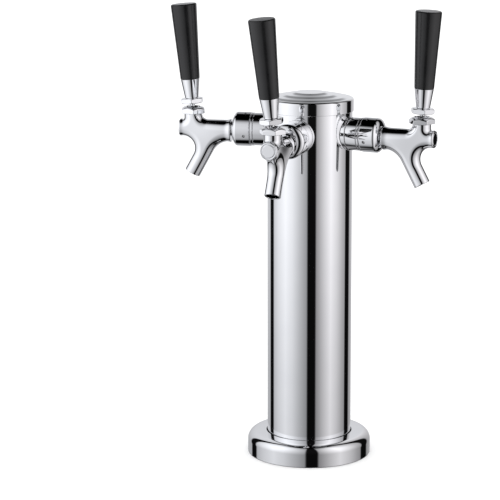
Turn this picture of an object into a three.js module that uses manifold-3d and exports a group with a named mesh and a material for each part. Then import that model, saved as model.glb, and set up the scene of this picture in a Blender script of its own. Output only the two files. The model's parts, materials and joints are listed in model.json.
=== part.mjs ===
// A three-tap draft beer tower: a polished column on a round base, with three lever faucets.
// Millimetres, +Z up. The origin is on the counter, at the centre of the tower's footprint box.
import * as THREE from 'three';
import { mergeVertices } from 'three/addons/utils/BufferGeometryUtils.js';
import Module from 'manifold-3d';

const wasm = await Module();
wasm.setup();

const DEG = Math.PI / 180;
const GAP = 0.3; // clearance kept between neighbouring pieces

// ---- driving dimensions: tower ----
const COLUMN_AXIS_Y = 34.5; // the column stands behind the origin, which is the middle of the footprint
const COLUMN_RADIUS = 38.1;
const COLUMN_WALL = 1.5;
const COLUMN_BORE = COLUMN_RADIUS - COLUMN_WALL;
const COLUMN_SIDES = 32;
const SHANK_SIDES = 16;
const SHANK_HEIGHT = 297.7; // shank axes above the counter
const CAP_RIM_HEIGHT = 327.7;
const CAP_RADIUS = 39.2;
const CAP_SKIRT = 11.5;
const CAP_TOP = 2; // thickness of the cap's flat top at its rim
const CAP_STEPS = [[31, 2], [22, 1.7], [13, 1.6]]; // each raised disc: its radius and its rise
const CAP_STEP_SLOPE = 5; // each rise spreads over this much of the radius
const GASKET_THICKNESS = 2;
const PLATE_THICKNESS = 4;
const PLATE_RADIUS = 50;
const PASSAGE_RADIUS = 30;
const BOLT_CIRCLE_RADIUS = 44;
const BOLT_HOLE_RADIUS = 2.6;
const BOLT_COUNT = 4;
const COVER_RADIUS = 56;
const COVER_HEIGHT = 20.5;
const COVER_SHOULDER = 8.5;
const COVER_HOLE_RADIUS = 39;
const COVER_WALL = 2;
const FOAM_RADIUS = 35.5;
const FOAM_BORE = 20;
const FOAM_TOP = 250;

// ---- driving dimensions: taps; lengths run outward from the column's axis ----
const SIDE_TAP_ANGLE = 83; // the side taps stand this far round from the front one
// Each closed lever leans a little to its side and outward, and the nuts are turned as they came tight.
const TAPS = [
  { side: 'left', heading: -90 - SIDE_TAP_ANGLE, lean: [0, 4.7], bonnetClock: 43, jamClock: 38, nutClock: -18 },
  { side: 'front', heading: -90.4, lean: [4.4, 3.9], bonnetClock: 29, jamClock: 9, nutClock: -18 },
  { side: 'right', heading: -90 + SIDE_TAP_ANGLE, lean: [0, 2.8], bonnetClock: 12, jamClock: 1, nutClock: 18 },
];
const SHANK_RADIUS = 11.1; // 7/8 in thread
const SHANK_BORE = 3.2;
const SHANK_INNER_END = 17.5;
const SHANK_SHOULDER = 53;
const SHANK_FACE = 59.7;
const SHANK_HEAD_RADIUS = 14; // 1 1/8 in thread
const RECESS_RADIUS = 7.2;
const RECESS_DEPTH = 8.6;
const SADDLE_RADIUS = 15.1;
const SADDLE_END = 39.3;
const SLEEVE_RADIUS = 14.7;
const SLEEVE_END = 49.6;
const TRIM_RING_RADIUS = 15;
const TRIM_RING_END = 52.3;
const NUT_RADIUS = 15.4;
const NUT_END = 69.6;
const NUT_NOSE = [7.2, 4.4]; // how far the domed front runs in from the nut's radius, and back from its end
const NUT_HOLE_RADIUS = 1.3;
const NUT_HOLE_COUNT = 4;
const BODY_FLANGE_START = 60.7;
const BODY_FLANGE_END = 65.2;
const BODY_FLANGE_RADIUS = 13.6;
const BODY_NECK_RADIUS = 6.9;
const BARREL_START = 71.3;
const BARREL_RADIUS = 9.7;
const BARREL_FLARE = [0.8, 6]; // how much wider the barrel's rear end is, and over what length
const BARREL_DROP = 1.9; // the barrel's middle hangs below the shank's axis
const NUB_RADIUS = 7.6;
const NUB_END = 119.3;
const BOSS_RADIUS = 8.15;
const BOSS_TOP = 13;
const SPOUT_RADIUS = 7.4;
const SPOUT_BORE = 5.6;
const SPOUT_TILT = 28.7; // from vertical, mouth outward
const SPOUT_MOUTH = [107.8, -41]; // along the shank, above its axis
const MAIN_BORE = 5.2;
const MAIN_BORE_END = 116.8;
const BALL_SOCKET = 7.15;
const SEAL_FLOOR = 6.7; // underside of the ball seal above the shank's axis
const PIVOT_REACH = 106.8;
const PIVOT_HEIGHT = 12;
const BALL_RADIUS = 5.6;
const BALL_TOUCH = BALL_RADIUS + 0.25; // the seat rings stay this far from the ball's centre
const LEVER_NECK = 2.3;
const LEVER_STUD = 4.76; // 3/8 in thread
const SHAFT_RADIUS = 2.4;
const SHAFT_SEAL_RADIUS = 6.2;
const SHAFT_SEAL_START = 58.4;
const BONNET_FLATS = 20.5;
const BONNET_BORE = 6.3;
const JAM_NUT_FLATS = 19.05;
const JAM_NUT_CORNER = 11.2;
const JAM_NUT_FACE = 9;
// heights along the leaning lever, from its pivot
const JAM_NUT_BOTTOM = 10.1;
const JAM_NUT_TOP = 15;
const STUD_TOP = 28;
const FERRULE_TOP = 32.2;
const FERRULE_RADII = [6.2, 8.6];
const GRIP_TOP = 100;
const GRIP_RADII = [8.7, 11.75];

// ---- materials ----
const finish = (color, roughness, metalness) => new THREE.MeshStandardMaterial({ color, roughness, metalness });
const CHROME = finish(0xc9ccd0, 0.08, 1);
const STEEL = finish(0xa4a6a8, 0.35, 1);
const BLACK_PLASTIC = finish(0x141416, 0.4, 0);
const RUBBER = finish(0x1c1c1c, 0.85, 0);
const NYLON = finish(0xe6e3da, 0.55, 0);
const FOAM = finish(0x3a3a3d, 0.95, 0);

// ---- geometry helpers ----
function signedVolume(position, index) {
  const [a, b, c] = [new THREE.Vector3(), new THREE.Vector3(), new THREE.Vector3()];
  let sum = 0;
  for (let i = 0; i < index.length; i += 3) {
    a.fromBufferAttribute(position, index[i]);
    b.fromBufferAttribute(position, index[i + 1]);
    c.fromBufferAttribute(position, index[i + 2]);
    sum += a.dot(b.cross(c));
  }
  return sum;
}

// A closed three.js geometry as a manifold solid with its faces pointing out.
function solid(geometry) {
  const bare = geometry.clone();
  bare.deleteAttribute('normal');
  bare.deleteAttribute('uv');
  const merged = mergeVertices(bare, 1e-4);
  const kept = [];
  const source = merged.index.array;
  for (let i = 0; i < source.length; i += 3) {
    const [a, b, c] = [source[i], source[i + 1], source[i + 2]];
    if (a !== b && b !== c && c !== a) kept.push(a, b, c);
  }
  if (signedVolume(merged.attributes.position, kept) < 0) kept.reverse();
  const vertProperties = new Float32Array(merged.attributes.position.array);
  return new wasm.Manifold(new wasm.Mesh({ numProp: 3, vertProperties, triVerts: new Uint32Array(kept) }));
}

function toGeometry(body) {
  const data = body.getMesh();
  const geometry = new THREE.BufferGeometry();
  geometry.setAttribute('position', new THREE.BufferAttribute(data.vertProperties, 3));
  geometry.setIndex(new THREE.BufferAttribute(data.triVerts, 1));
  geometry.computeVertexNormals();
  return geometry;
}

const sum = (first, ...rest) => rest.reduce((total, body) => total.add(body), first);
const cut = (first, ...rest) => rest.reduce((total, body) => total.subtract(body), first);

// A profile of [radius, height] points turned about +Z; radius 0 closes it on the axis.
function turned(profile, sides, closed = false) {
  const points = profile.map(([radius, height]) => new THREE.Vector2(radius, height));
  if (closed) points.push(points[0].clone());
  return new THREE.LatheGeometry(points, sides).rotateX(Math.PI / 2);
}

// A solid disc or rod between two heights, and a ring with a bore.
const rod = (radius, low, high, sides) => turned([[0, low], [radius, low], [radius, high], [0, high]], sides);
const ring = (bore, radius, low, high, sides) =>
  turned([[bore, low], [radius, low], [radius, high], [bore, high]], sides, true);

// Lays a part made along +Z out along +X, the outward way of a tap.
const outward = (geometry) => geometry.rotateY(Math.PI / 2);

function hexagon(flats, low, high, clock) {
  const prism = new THREE.CylinderGeometry(flats / Math.sqrt(3), flats / Math.sqrt(3), high - low, 6);
  return prism.rotateX(Math.PI / 2).rotateZ(clock * DEG).translate(0, 0, (low + high) / 2);
}

// Points of an arc in a [radius, height] profile.
function arc(centre, radii, fromDegrees, toDegrees, steps) {
  return Array.from({ length: steps + 1 }, (_, i) => {
    const angle = (fromDegrees + ((toDegrees - fromDegrees) * i) / steps) * DEG;
    return [centre[0] + radii[0] * Math.cos(angle), centre[1] + radii[1] * Math.sin(angle)];
  });
}

// A round bar swept along a list of [x, z] points in the plane y = 0.
function sweptBar(path, radius, sides, steps) {
  const section = new THREE.Shape();
  for (let i = 0; i < sides; i += 1) {
    const angle = (2 * Math.PI * i) / sides;
    const [x, y] = [radius * Math.cos(angle), radius * Math.sin(angle)];
    if (i === 0) section.moveTo(x, y);
    else section.lineTo(x, y);
  }
  section.closePath();
  const curve = new THREE.CatmullRomCurve3(path.map(([x, z]) => new THREE.Vector3(x, 0, z)));
  return new THREE.ExtrudeGeometry(section, { steps, extrudePath: curve });
}

const tower = new THREE.Group();
const columnFrame = new THREE.Group();
columnFrame.position.set(0, COLUMN_AXIS_Y, 0);
tower.add(columnFrame);

function place(parent, name, body, material) {
  const mesh = new THREE.Mesh(toGeometry(body), material);
  mesh.name = name;
  parent.add(mesh);
}

// ---- tower pieces ----
const plateBottom = GASKET_THICKNESS + GAP;
const plateTop = plateBottom + PLATE_THICKNESS;

function shankHoles() {
  const holes = TAPS.map(({ heading }) => {
    const drill = outward(rod(SHANK_RADIUS + GAP, 0, 1.2 * COLUMN_RADIUS, SHANK_SIDES));
    return solid(drill.rotateZ(heading * DEG).translate(0, 0, SHANK_HEIGHT));
  });
  return sum(...holes);
}

function columnTube() {
  const tube = ring(COLUMN_BORE, COLUMN_RADIUS, plateTop + GAP, CAP_RIM_HEIGHT - CAP_TOP - GAP, COLUMN_SIDES);
  return cut(solid(tube), shankHoles());
}

function columnCap() {
  const bore = COLUMN_RADIUS + GAP;
  const outline = [[CAP_RADIUS, CAP_RIM_HEIGHT - CAP_SKIRT], [CAP_RADIUS, CAP_RIM_HEIGHT]];
  let height = CAP_RIM_HEIGHT;
  CAP_STEPS.forEach(([radius, rise]) => {
    outline.push([radius + CAP_STEP_SLOPE, height], [radius, height + rise]);
    height += rise;
  });
  outline.push([0, height], [0, CAP_RIM_HEIGHT - CAP_TOP], [bore, CAP_RIM_HEIGHT - CAP_TOP]);
  outline.push([bore, CAP_RIM_HEIGHT - CAP_SKIRT]);
  return solid(turned(outline, COLUMN_SIDES, true));
}

function boltHoles() {
  const holes = Array.from({ length: BOLT_COUNT }, (_, i) => {
    const angle = ((i + 0.5) * 360) / BOLT_COUNT;
    const hole = rod(BOLT_HOLE_RADIUS, -1, plateTop + 1, 6).translate(BOLT_CIRCLE_RADIUS, 0, 0);
    return solid(hole.rotateZ(angle * DEG));
  });
  return sum(...holes);
}

const basePlate = () => cut(solid(ring(PASSAGE_RADIUS, PLATE_RADIUS, plateBottom, plateTop, 24)), boltHoles());
const baseGasket = () => cut(solid(ring(PASSAGE_RADIUS, PLATE_RADIUS, 0, GASKET_THICKNESS, 24)), boltHoles());

function baseCover() {
  const centre = [COVER_RADIUS - COVER_SHOULDER, COVER_HEIGHT - COVER_SHOULDER];
  const outer = arc(centre, [COVER_SHOULDER, COVER_SHOULDER], 0, 90, 4);
  const innerRadius = COVER_SHOULDER - COVER_WALL;
  const inner = arc(centre, [innerRadius, innerRadius], 90, 0, 2);
  const hole = [[COVER_HOLE_RADIUS, COVER_HEIGHT], [COVER_HOLE_RADIUS, COVER_HEIGHT - COVER_WALL]];
  const profile = [[COVER_RADIUS, GAP], ...outer, ...hole, ...inner, [COVER_RADIUS - COVER_WALL, GAP]];
  return solid(turned(profile, COLUMN_SIDES, true));
}

const insulationSleeve = () => solid(ring(FOAM_BORE, FOAM_RADIUS, plateTop + GAP, FOAM_TOP, 20));

// ---- pieces on the shank ----
// The ring that seats the sleeve: its inner end is cut to the round of the column.
function saddleRing() {
  const blank = outward(ring(SHANK_RADIUS + GAP, SADDLE_RADIUS, 0.8 * COLUMN_RADIUS, SADDLE_END, SHANK_SIDES));
  const column = rod(COLUMN_RADIUS + GAP, -COLUMN_RADIUS, COLUMN_RADIUS, COLUMN_SIDES);
  return cut(solid(blank), solid(column));
}

const shankSleeve = () =>
  solid(outward(ring(SHANK_RADIUS + GAP, SLEEVE_RADIUS, SADDLE_END + GAP, SLEEVE_END, SHANK_SIDES)));
const trimRing = () =>
  solid(outward(ring(SHANK_RADIUS + GAP, TRIM_RING_RADIUS, SLEEVE_END + GAP, TRIM_RING_END, SHANK_SIDES)));

function shank() {
  const [tailBore, tailDepth] = [4.8, SHANK_INNER_END + 5];
  const recessFloor = SHANK_FACE - RECESS_DEPTH;
  const outside = [[SHANK_RADIUS, SHANK_INNER_END], [SHANK_RADIUS, SHANK_SHOULDER]];
  outside.push([SHANK_HEAD_RADIUS, SHANK_SHOULDER], [SHANK_HEAD_RADIUS, SHANK_FACE]);
  const inside = [[RECESS_RADIUS, SHANK_FACE], [RECESS_RADIUS, recessFloor], [SHANK_BORE, recessFloor]];
  inside.push([SHANK_BORE, tailDepth], [tailBore, tailDepth], [tailBore, SHANK_INNER_END]);
  return solid(outward(turned([...outside, ...inside], SHANK_SIDES, true)));
}

function shankNut() {
  const [inner, outer, flats] = [26, 31.8, 28.6];
  const body = solid(outward(hexagon(flats, inner, outer, 0)));
  return cut(body, solid(outward(rod(SHANK_RADIUS + GAP, inner - 1, outer + 1, SHANK_SIDES))));
}

// The bent tail inside the column: a plug in the shank, a stop collar and a barbed end for the beer line.
function tailElbow() {
  const [drop, reach, wallRadius, boreRadius, plugRadius, collarRadius] = [38, 12, 3.3, 2.2, 4.5, 6.2];
  const [barbFoot, barbHead, barbLength, barbPitch] = [3.4, 4.1, 3.6, 5];
  const bend = [[16.4, 0], [14.4, -0.3], [12.4, -2], [reach, -5], [reach, -12]];
  const pipe = solid(sweptBar([...bend, [reach, -drop]], wallRadius, 8, 9));
  const plug = solid(outward(rod(plugRadius, 16, SHANK_INNER_END + 4.6, 10)));
  const collar = solid(outward(rod(collarRadius, 15.6, SHANK_INNER_END - GAP, 10)));
  const barbs = [0, 1, 2].map((i) => {
    const low = 1 - drop + i * barbPitch;
    const high = low + barbLength;
    return solid(turned([[0, low], [barbFoot, low], [barbHead, high], [0, high]], 8).translate(reach, 0, 0));
  });
  const bore = solid(sweptBar([[26, 0], ...bend, [reach, -1.1 * drop]], boreRadius, 6, 12));
  return cut(sum(pipe, plug, collar, ...barbs), bore);
}

function couplingNut(clockDegrees) {
  const [threadRadius, lipRadius] = [SHANK_HEAD_RADIUS + GAP, BODY_NECK_RADIUS + 0.7];
  const [backChamfer, holeReach] = [0.6, 57.6];
  const [start, lip] = [TRIM_RING_END + GAP, BODY_FLANGE_END + GAP];
  const nose = arc([NUT_RADIUS - NUT_NOSE[0], NUT_END - NUT_NOSE[1]], NUT_NOSE, 0, 90, 3);
  const outside = [[NUT_RADIUS - backChamfer, start], [NUT_RADIUS, start + backChamfer], ...nose];
  const inside = [[lipRadius, NUT_END], [lipRadius, lip], [threadRadius, lip], [threadRadius, start]];
  const blank = solid(outward(turned([...outside, ...inside], 20, true)));
  const holes = Array.from({ length: NUT_HOLE_COUNT }, (_, i) => {
    const drill = rod(NUT_HOLE_RADIUS, threadRadius - 1, NUT_RADIUS + 1, 6);
    const clock = clockDegrees + (i * 360) / NUT_HOLE_COUNT;
    return solid(drill.rotateX(90 * DEG).translate(holeReach, 0, 0).rotateX(clock * DEG));
  });
  return cut(blank, ...holes);
}

const couplingGasket = () =>
  solid(outward(ring(RECESS_RADIUS + 0.6, 12, SHANK_FACE + GAP, BODY_FLANGE_START - GAP, 12)));

// ---- faucet ----
function bodyRearEnd() {
  const profile = [[0, BODY_FLANGE_START], [BODY_FLANGE_RADIUS, BODY_FLANGE_START]];
  profile.push([BODY_FLANGE_RADIUS, BODY_FLANGE_END], [BODY_NECK_RADIUS, BODY_FLANGE_END]);
  profile.push([BODY_NECK_RADIUS, BARREL_START + 2], [0, BARREL_START + 2]);
  return solid(outward(turned(profile, 16)));
}

// A point on the spout's middle line, measured back up from its mouth.
function spoutPoint(distance) {
  const [reach, height] = SPOUT_MOUTH;
  return [reach - distance * Math.sin(SPOUT_TILT * DEG), height + distance * Math.cos(SPOUT_TILT * DEG)];
}

function spoutPath(mouthDistance) {
  return [[86, -5], [90.5, -9.2], [94.3, -15], spoutPoint(20), spoutPoint(12), spoutPoint(mouthDistance)];
}

// The round nub in front of the lever boss, closed by a chamfered end.
function bodyNub() {
  const [root, chamfer] = [96, 1.3];
  const profile = [[0, root], [NUB_RADIUS, root], [NUB_RADIUS, NUB_END - chamfer]];
  profile.push([NUB_RADIUS - chamfer, NUB_END], [0, NUB_END]);
  return solid(outward(turned(profile, 16)));
}

// The swelling between barrel and spout.
function bodyWeb() {
  const ball = new THREE.SphereGeometry(10, 10, 6).rotateX(Math.PI / 2);
  return solid(ball.scale(1, 0.85, 0.9).translate(95, 0, -7));
}

// The upright well in the boss: a seat for the ball seal over a narrower way down to the main bore.
function leverWell() {
  const [wayRadius, top] = [6, BOSS_TOP + 1];
  const profile = [[0, 0], [wayRadius, 0], [wayRadius, SEAL_FLOOR - GAP], [BALL_SOCKET, SEAL_FLOOR - GAP]];
  profile.push([BALL_SOCKET, top], [0, top]);
  return solid(turned(profile, 12).translate(PIVOT_REACH, 0, 0));
}

function faucetBody() {
  const [flare, flareLength] = BARREL_FLARE;
  const profile = [[0, BARREL_START], [BARREL_RADIUS + flare, BARREL_START]];
  profile.push([BARREL_RADIUS, BARREL_START + flareLength], [BARREL_RADIUS, PIVOT_REACH], [0, PIVOT_REACH]);
  const barrel = outward(turned(profile, 16)).translate(0, 0, -BARREL_DROP);
  const boss = rod(BOSS_RADIUS, -4, BOSS_TOP, 16).translate(PIVOT_REACH, 0, 0);
  const spout = sweptBar(spoutPath(0), SPOUT_RADIUS, 12, 8);
  const outside = sum(bodyRearEnd(), solid(barrel), bodyNub(), solid(boss), bodyWeb(), solid(spout));
  const mainBore = outward(rod(MAIN_BORE, BODY_FLANGE_START - 1, MAIN_BORE_END, 10));
  const flow = sweptBar(spoutPath(-4), SPOUT_BORE, 8, 7);
  return cut(outside, solid(mainBore), leverWell(), solid(flow));
}

// The rod that opens the valve: its eye is slotted for the tongue under the lever's ball.
function valveShaft() {
  const [eyeRadius, eyeStart, eyeEnd] = [4.4, PIVOT_REACH - 5, PIVOT_REACH + 6];
  const [slotLength, slotWidth, slotMiddle] = [6.8, 5.4, PIVOT_REACH + 0.4];
  const [seat, tip] = [SHAFT_SEAL_START - 0.4, MAIN_BORE_END - 2];
  const profile = [[0, seat], [SHAFT_RADIUS, seat], [SHAFT_RADIUS, eyeStart], [eyeRadius, eyeStart]];
  profile.push([eyeRadius, eyeEnd], [SHAFT_RADIUS, eyeEnd], [SHAFT_RADIUS, tip], [0, tip]);
  const slot = new THREE.BoxGeometry(slotLength, slotWidth, 3 * eyeRadius).translate(slotMiddle, 0, 0);
  return cut(solid(outward(turned(profile, 10))), solid(slot));
}

const shaftSeal = () =>
  solid(outward(ring(SHAFT_RADIUS + GAP, SHAFT_SEAL_RADIUS, SHAFT_SEAL_START, BODY_FLANGE_START - GAP, 12)));

// The soft ring under the lever's ball; its lower edge is opened out for the tongue.
function ballSeal() {
  const [outer, lowerBore] = [BALL_SOCKET - GAP, 5.2];
  const cradle = arc([0, PIVOT_HEIGHT], [BALL_TOUCH, BALL_TOUCH], -20, -44, 2);
  const profile = [[outer, SEAL_FLOOR], [outer, cradle[0][1]], ...cradle, [lowerBore, SEAL_FLOOR]];
  return solid(turned(profile, 12, true).translate(PIVOT_REACH, 0, 0));
}

// The hard ring over the ball, inside the bonnet's skirt.
function frictionWasher() {
  const outer = BONNET_BORE - 0.25;
  const cradle = arc([0, PIVOT_HEIGHT], [BALL_TOUCH, BALL_TOUCH], 14, 30, 2);
  const profile = [[outer, cradle[0][1]], [outer, cradle[2][1]], ...cradle.reverse()];
  return solid(turned(profile, 12, true).translate(PIVOT_REACH, 0, 0));
}

function bonnet(clock) {
  const [bottom, top, skirtBottom, corner] = [BOSS_TOP + GAP, 19.4, PIVOT_HEIGHT - 1, 12.4];
  const [crownFoot, crownRadius, throat, throatHeight, mouth] = [16.6, 7.8, 5.1, 15.9, 7];
  const crown = turned([[0, bottom], [corner, bottom], [corner, crownFoot], [crownRadius, top], [0, top]], 24);
  const head = solid(hexagon(BONNET_FLATS, bottom, top, clock)).intersect(solid(crown));
  const skirt = solid(rod(BALL_SOCKET - GAP, skirtBottom, bottom + 1, 12));
  const hollow = [[0, skirtBottom - 1], [BONNET_BORE, skirtBottom - 1], [BONNET_BORE, throatHeight]];
  hollow.push([throat, throatHeight], [mouth, top + 0.1], [0, top + 0.1]);
  return cut(sum(head, skirt), solid(turned(hollow, 12))).translate([PIVOT_REACH, 0, 0]);
}

// ---- lever group: its own origin is the ball's centre, +Z up the lever ----
function lever() {
  const ballBottom = -Math.sqrt(BALL_RADIUS ** 2 - 1);
  const ballTop = Math.sqrt(BALL_RADIUS ** 2 - LEVER_NECK ** 2);
  const ball = arc([0, 0], [BALL_RADIUS, BALL_RADIUS], Math.atan2(ballBottom, 1) / DEG,
    Math.atan2(ballTop, LEVER_NECK) / DEG, 5);
  const profile = [[0, ballBottom], ...ball, [LEVER_NECK, JAM_NUT_BOTTOM]];
  profile.push([LEVER_STUD, JAM_NUT_BOTTOM], [LEVER_STUD, STUD_TOP], [0, STUD_TOP]);
  const [tongueLength, tongueWidth, tongueDepth, buried] = [2.4, 2.6, 10.8, 1.5];
  const tongue = new THREE.BoxGeometry(tongueLength, tongueWidth, tongueDepth);
  tongue.translate(0, 0, ballBottom + buried - tongueDepth / 2);
  return sum(solid(turned(profile, 12)), solid(tongue));
}

function jamNut(clock) {
  const [lowChamfer, highChamfer] = [1.2, 0.8];
  const profile = [[0, JAM_NUT_BOTTOM], [JAM_NUT_FACE, JAM_NUT_BOTTOM]];
  profile.push([JAM_NUT_CORNER, JAM_NUT_BOTTOM + lowChamfer], [JAM_NUT_CORNER, JAM_NUT_TOP - highChamfer]);
  profile.push([JAM_NUT_FACE, JAM_NUT_TOP], [0, JAM_NUT_TOP]);
  const crown = solid(turned(profile, 18));
  const head = solid(hexagon(JAM_NUT_FLATS, JAM_NUT_BOTTOM, JAM_NUT_TOP, clock)).intersect(crown);
  return cut(head, solid(rod(LEVER_STUD + GAP, JAM_NUT_BOTTOM - 1, JAM_NUT_TOP + 1, 12)));
}

function handleFerrule() {
  const [low, high] = [JAM_NUT_TOP + GAP, FERRULE_TOP];
  const [bore, [foot, head]] = [LEVER_STUD + GAP, FERRULE_RADII];
  return solid(turned([[bore, low], [foot, low], [head, high], [bore, high]], 16, true));
}

function handleGrip() {
  const [low, blindEnd, edge, rounding] = [FERRULE_TOP + GAP, FERRULE_TOP + 8, 1.2, 1.4];
  const [foot, head] = GRIP_RADII;
  const profile = [[0, blindEnd], [LEVER_STUD + GAP, blindEnd], [LEVER_STUD + GAP, low], [foot, low]];
  profile.push([head, GRIP_TOP - edge], [head - rounding, GRIP_TOP], [0, GRIP_TOP]);
  return solid(turned(profile, 20));
}

// ---- assembly ----
place(columnFrame, 'column_tube', columnTube(), CHROME);
place(columnFrame, 'column_cap', columnCap(), CHROME);
place(columnFrame, 'base_plate', basePlate(), STEEL);
place(columnFrame, 'base_gasket', baseGasket(), RUBBER);
place(columnFrame, 'base_cover', baseCover(), CHROME);
place(columnFrame, 'insulation_sleeve', insulationSleeve(), FOAM);

function addTap({ side, heading, lean, bonnetClock, jamClock, nutClock }) {
  const tap = new THREE.Group();
  tap.position.set(0, 0, SHANK_HEIGHT);
  tap.rotation.z = heading * DEG;
  columnFrame.add(tap);
  place(tap, `${side}_saddle_ring`, saddleRing(), CHROME);
  place(tap, `${side}_shank_sleeve`, shankSleeve(), CHROME);
  place(tap, `${side}_trim_ring`, trimRing(), CHROME);
  place(tap, `${side}_shank`, shank(), STEEL);
  place(tap, `${side}_shank_nut`, shankNut(), STEEL);
  place(tap, `${side}_tail_elbow`, tailElbow(), STEEL);
  place(tap, `${side}_coupling_nut`, couplingNut(nutClock), CHROME);
  place(tap, `${side}_coupling_gasket`, couplingGasket(), RUBBER);
  place(tap, `${side}_faucet_body`, faucetBody(), CHROME);
  place(tap, `${side}_valve_shaft`, valveShaft(), STEEL);
  place(tap, `${side}_shaft_seal`, shaftSeal(), RUBBER);
  place(tap, `${side}_ball_seal`, ballSeal(), RUBBER);
  place(tap, `${side}_friction_washer`, frictionWasher(), NYLON);
  place(tap, `${side}_bonnet`, bonnet(bonnetClock), CHROME);

  const leverFrame = new THREE.Group();
  leverFrame.position.set(PIVOT_REACH, 0, PIVOT_HEIGHT);
  leverFrame.rotation.set(lean[0] * DEG, lean[1] * DEG, 0, 'XYZ');
  tap.add(leverFrame);
  place(leverFrame, `${side}_lever`, lever(), CHROME);
  place(leverFrame, `${side}_jam_nut`, jamNut(jamClock), CHROME);
  place(leverFrame, `${side}_handle_ferrule`, handleFerrule(), CHROME);
  place(leverFrame, `${side}_handle_grip`, handleGrip(), BLACK_PLASTIC);
}

TAPS.forEach(addTap);

export default tower;
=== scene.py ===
import json
import math
from collections import namedtuple

import bpy
import numpy as np
from mathutils import Euler, Matrix, Vector


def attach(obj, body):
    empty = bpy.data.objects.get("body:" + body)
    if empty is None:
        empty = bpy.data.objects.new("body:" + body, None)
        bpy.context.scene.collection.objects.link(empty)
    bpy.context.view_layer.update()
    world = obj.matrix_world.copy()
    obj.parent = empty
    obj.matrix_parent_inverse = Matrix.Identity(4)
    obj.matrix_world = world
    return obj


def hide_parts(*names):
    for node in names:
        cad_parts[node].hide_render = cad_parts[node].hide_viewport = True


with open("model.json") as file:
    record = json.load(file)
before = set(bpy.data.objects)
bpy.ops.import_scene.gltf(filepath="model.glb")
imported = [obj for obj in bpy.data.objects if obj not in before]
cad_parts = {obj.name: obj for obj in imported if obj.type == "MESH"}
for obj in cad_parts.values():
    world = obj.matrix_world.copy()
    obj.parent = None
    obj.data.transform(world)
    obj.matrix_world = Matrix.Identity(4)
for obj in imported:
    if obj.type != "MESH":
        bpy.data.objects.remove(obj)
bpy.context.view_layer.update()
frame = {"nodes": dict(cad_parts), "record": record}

# ---- dimensions shared with the CAD, in millimetres ----
MM = 0.001  # one millimetre in Blender's metres
GAP = 0.3  # clearance kept between neighbouring pieces
COLUMN_AXIS_Y = 34.5
COLUMN_RADIUS = 38.1
COLUMN_WALL = 1.5
TUBE_TOP = 325.3
CAP_RADIUS = 39.2
CAP_RIM = 327.7
CAP_SKIRT = 11.5
CAP_THICKNESS = 2.0
GASKET_THICKNESS = 2.0
PLATE_BOTTOM = GASKET_THICKNESS + GAP
PLATE_TOP = PLATE_BOTTOM + 4.0
FLANGE_RADII = (30.0, 50.0)
BOLT_CIRCLE_RADIUS = 44.0
BOLT_HOLE_RADIUS = 2.6
COVER_RADIUS = 56.0
COVER_HEIGHT = 20.5
COVER_SHOULDER = 8.5
COVER_WALL = 2.0
COVER_HOLE_RADIUS = 39.0
FOAM_RADII = (20.0, 35.5)
FOAM_TOP = 250.0
SHANK_HEIGHT = 297.7  # of the shanks' axes above the counter

# Lengths along a tap run outward from the column's axis, heights up from the shank's axis.
SHANK_BORE = 11.4  # bore of the rings that slide over the shank
SADDLE_RADIUS, SADDLE_START, SADDLE_END = 15.1, 36.0, 39.3
SLEEVE_RADIUS, SLEEVE_END = 14.7, 49.6
TRIM_RING_RADIUS, TRIM_RING_END = 15.0, 52.3
NUT_RADIUS, NUT_END = 15.4, 69.6
BARREL_START = 71.3
NUB_END = 119.3
BOSS_TOP = 13.0
MOUTH = (107.8, -41.0)  # middle of the spout's mouth: reach, height
SPOUT_TILT = math.radians(28.7)
SPOUT_RADIUS = 7.4
PIVOT_REACH = 106.8
PIVOT_HEIGHT = 12.0

# Heights on a handle run up from the middle of the lever's ball.
STUD_RADIUS = 4.76
STUD_BORE = 5.06  # of the pieces that screw onto the stud
STUD_START = 10.1
JAM_NUT_TOP = 15.0
FERRULE_TOP = 32.2
GRIP_TOP = 100.0

# Where each tap heads, how its closed handle leans outward and to its side, and how its hexagons and the
# spanner holes of its coupling nut came to stand when tightened, all in degrees.
SIDE_TAP_ANGLE = 83.0
Tap = namedtuple("Tap", "heading lean side_lean bonnet_clock jam_clock hole_clock")
TAPS = {
    "left": Tap(-90 - SIDE_TAP_ANGLE, 4.7, 0.0, 43, 38, -18),
    "front": Tap(-90.4, 3.9, 4.4, 29, 9, -18),
    "right": Tap(-90 + SIDE_TAP_ANGLE, 2.8, 0.0, 12, 1, 18),
}
BODY_OF = {n: b for b, nodes in frame["record"]["behaviour"]["bodies"].items() for n in nodes}
SLOT_OF = {s["node"]: s["material_slot"] for s in frame["record"]["subparts"]}


# ---- meshes ----
def rounded(corners, closed=False, steps=6):
    """A (radius, height) outline whose corners (radius, height, fillet) are rounded."""
    points = [np.array(c[:2], float) for c in corners]
    fillets = [c[2] if len(c) > 2 else 0.0 for c in corners]
    count, out = len(points), []
    for i, (p, fillet) in enumerate(zip(points, fillets)):
        if fillet <= 0 or (not closed and i in (0, count - 1)):
            out.append(tuple(p))
            continue
        before, after = points[i - 1] - p, points[(i + 1) % count] - p
        u, v = before / np.linalg.norm(before), after / np.linalg.norm(after)
        half = math.acos(max(-1.0, min(1.0, float(u @ v)))) / 2
        reach = min(fillet / math.tan(half), 0.49 * np.linalg.norm(before), 0.49 * np.linalg.norm(after))
        radius = reach * math.tan(half)
        centre = p + (u + v) / np.linalg.norm(u + v) * radius / math.sin(half)
        a, b = p + u * reach - centre, p + v * reach - centre
        start, turn = math.atan2(a[1], a[0]), math.atan2(a[0] * b[1] - a[1] * b[0], float(a @ b))
        for k in range(steps + 1):
            angle = start + turn * k / steps
            out.append((centre[0] + radius * math.cos(angle), centre[1] + radius * math.sin(angle)))
    return out


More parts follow.
